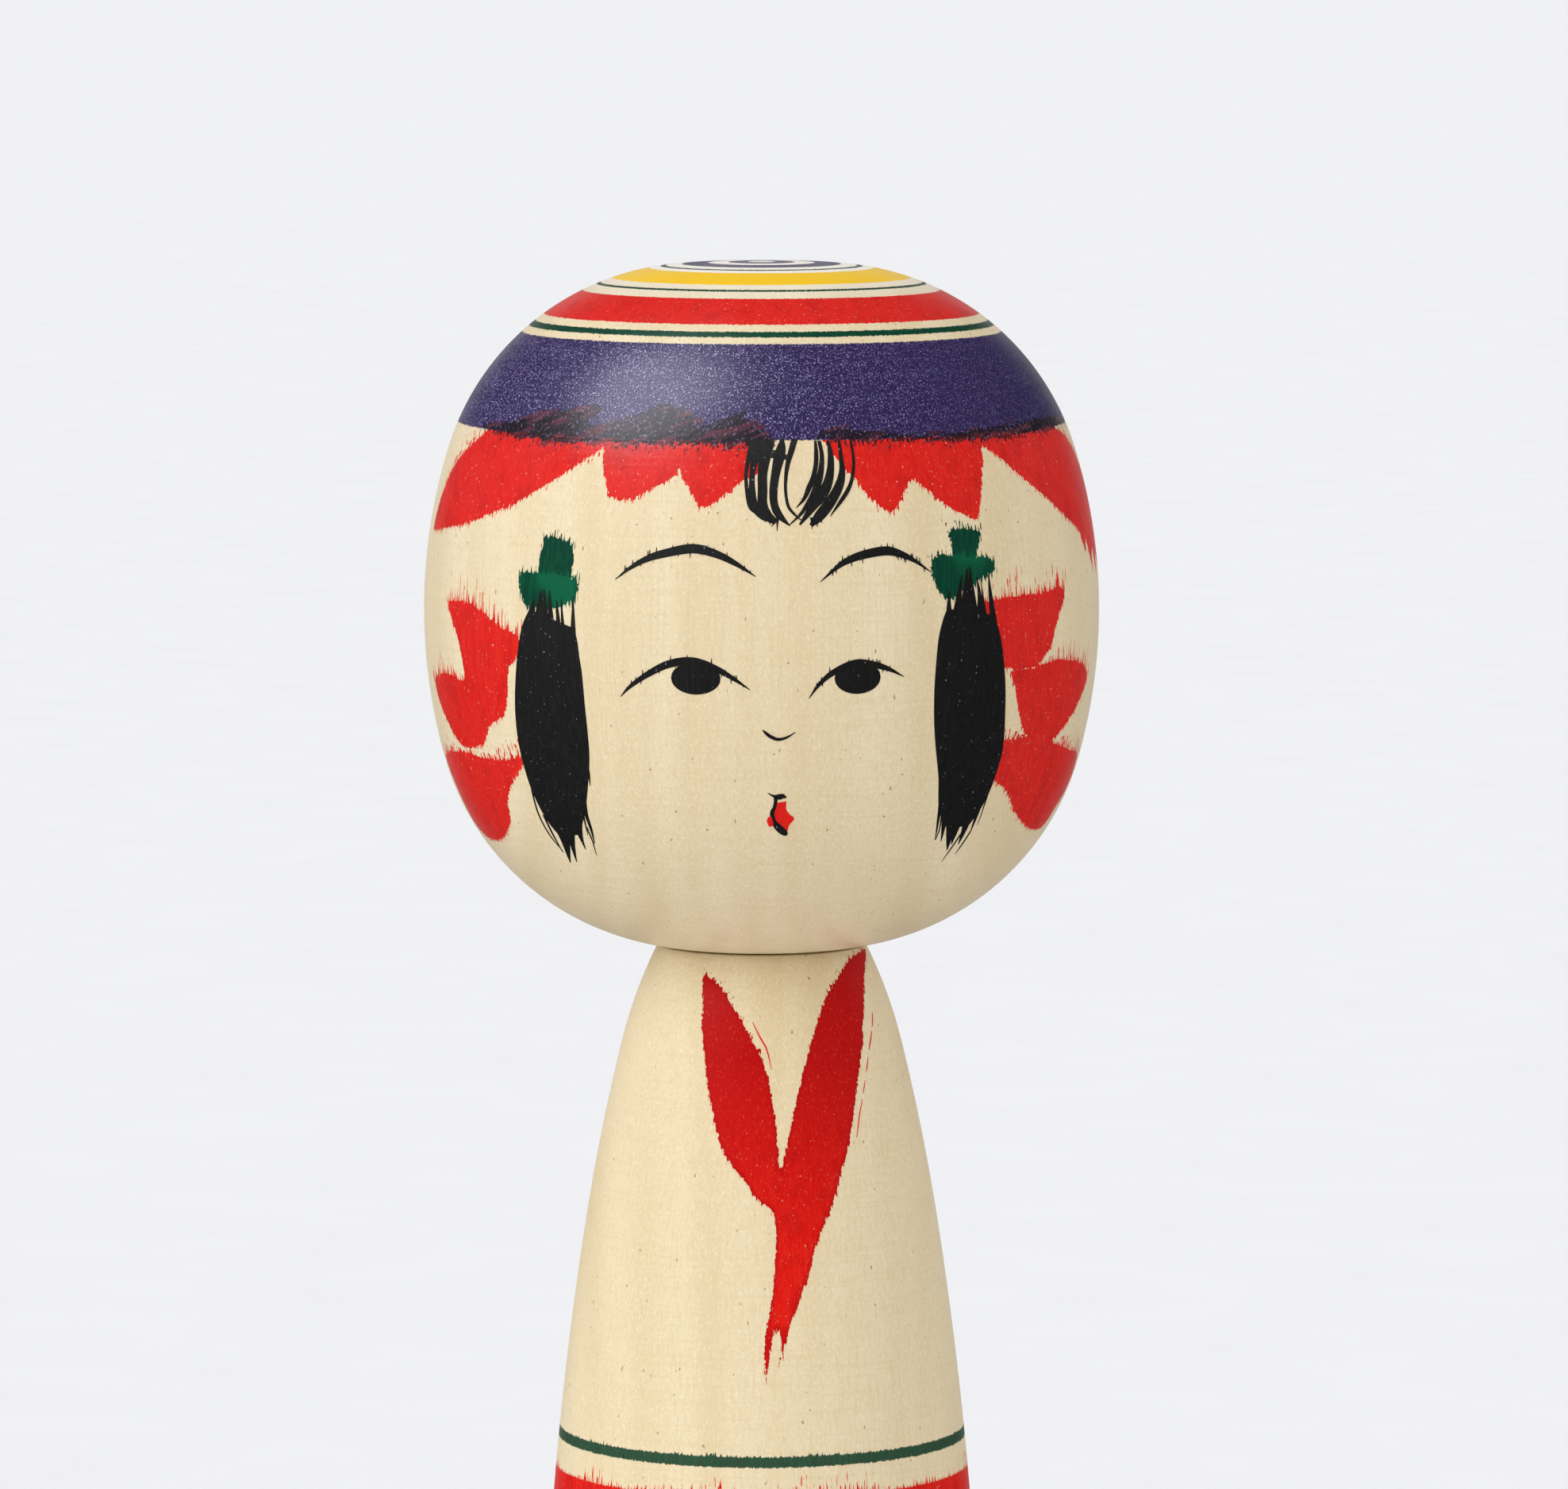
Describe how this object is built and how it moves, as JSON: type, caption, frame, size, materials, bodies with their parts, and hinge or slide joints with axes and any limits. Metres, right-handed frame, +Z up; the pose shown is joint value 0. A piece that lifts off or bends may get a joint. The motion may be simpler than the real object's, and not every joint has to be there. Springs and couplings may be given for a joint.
{
  "type": "kokeshi doll",
  "caption": "Turned wooden doll: a large round painted head whose tenon turns stiffly in a bullet-shaped body with a flat foot.",
  "frame": {"origin": "centre of the foot, on the surface that the doll stands on", "axes": "+Z up along the turning axis; the doll's face looks along -Y; +X is to the right as seen from in front"},
  "size_m": [0.079, 0.079, 0.242],
  "materials": {
    "body_wood": "waxed dogwood with dyed bands",
    "head_wood": "waxed dogwood with dyed bands",
    "red_dye": "red dye brushed on the wood",
    "black_ink": "black brushed ink"
  },
  "bodies": {
    "doll_body": {"body": "body_wood"},
    "doll_head": {"head": "head_wood"}
  },
  "joints": [
    {"name": "head_turn", "type": "hinge", "parent": "doll_body", "child": "doll_head", "pos_m": [0, 0, 0.162], "axis": [0, 0, 1], "continuous": true}
  ]
}
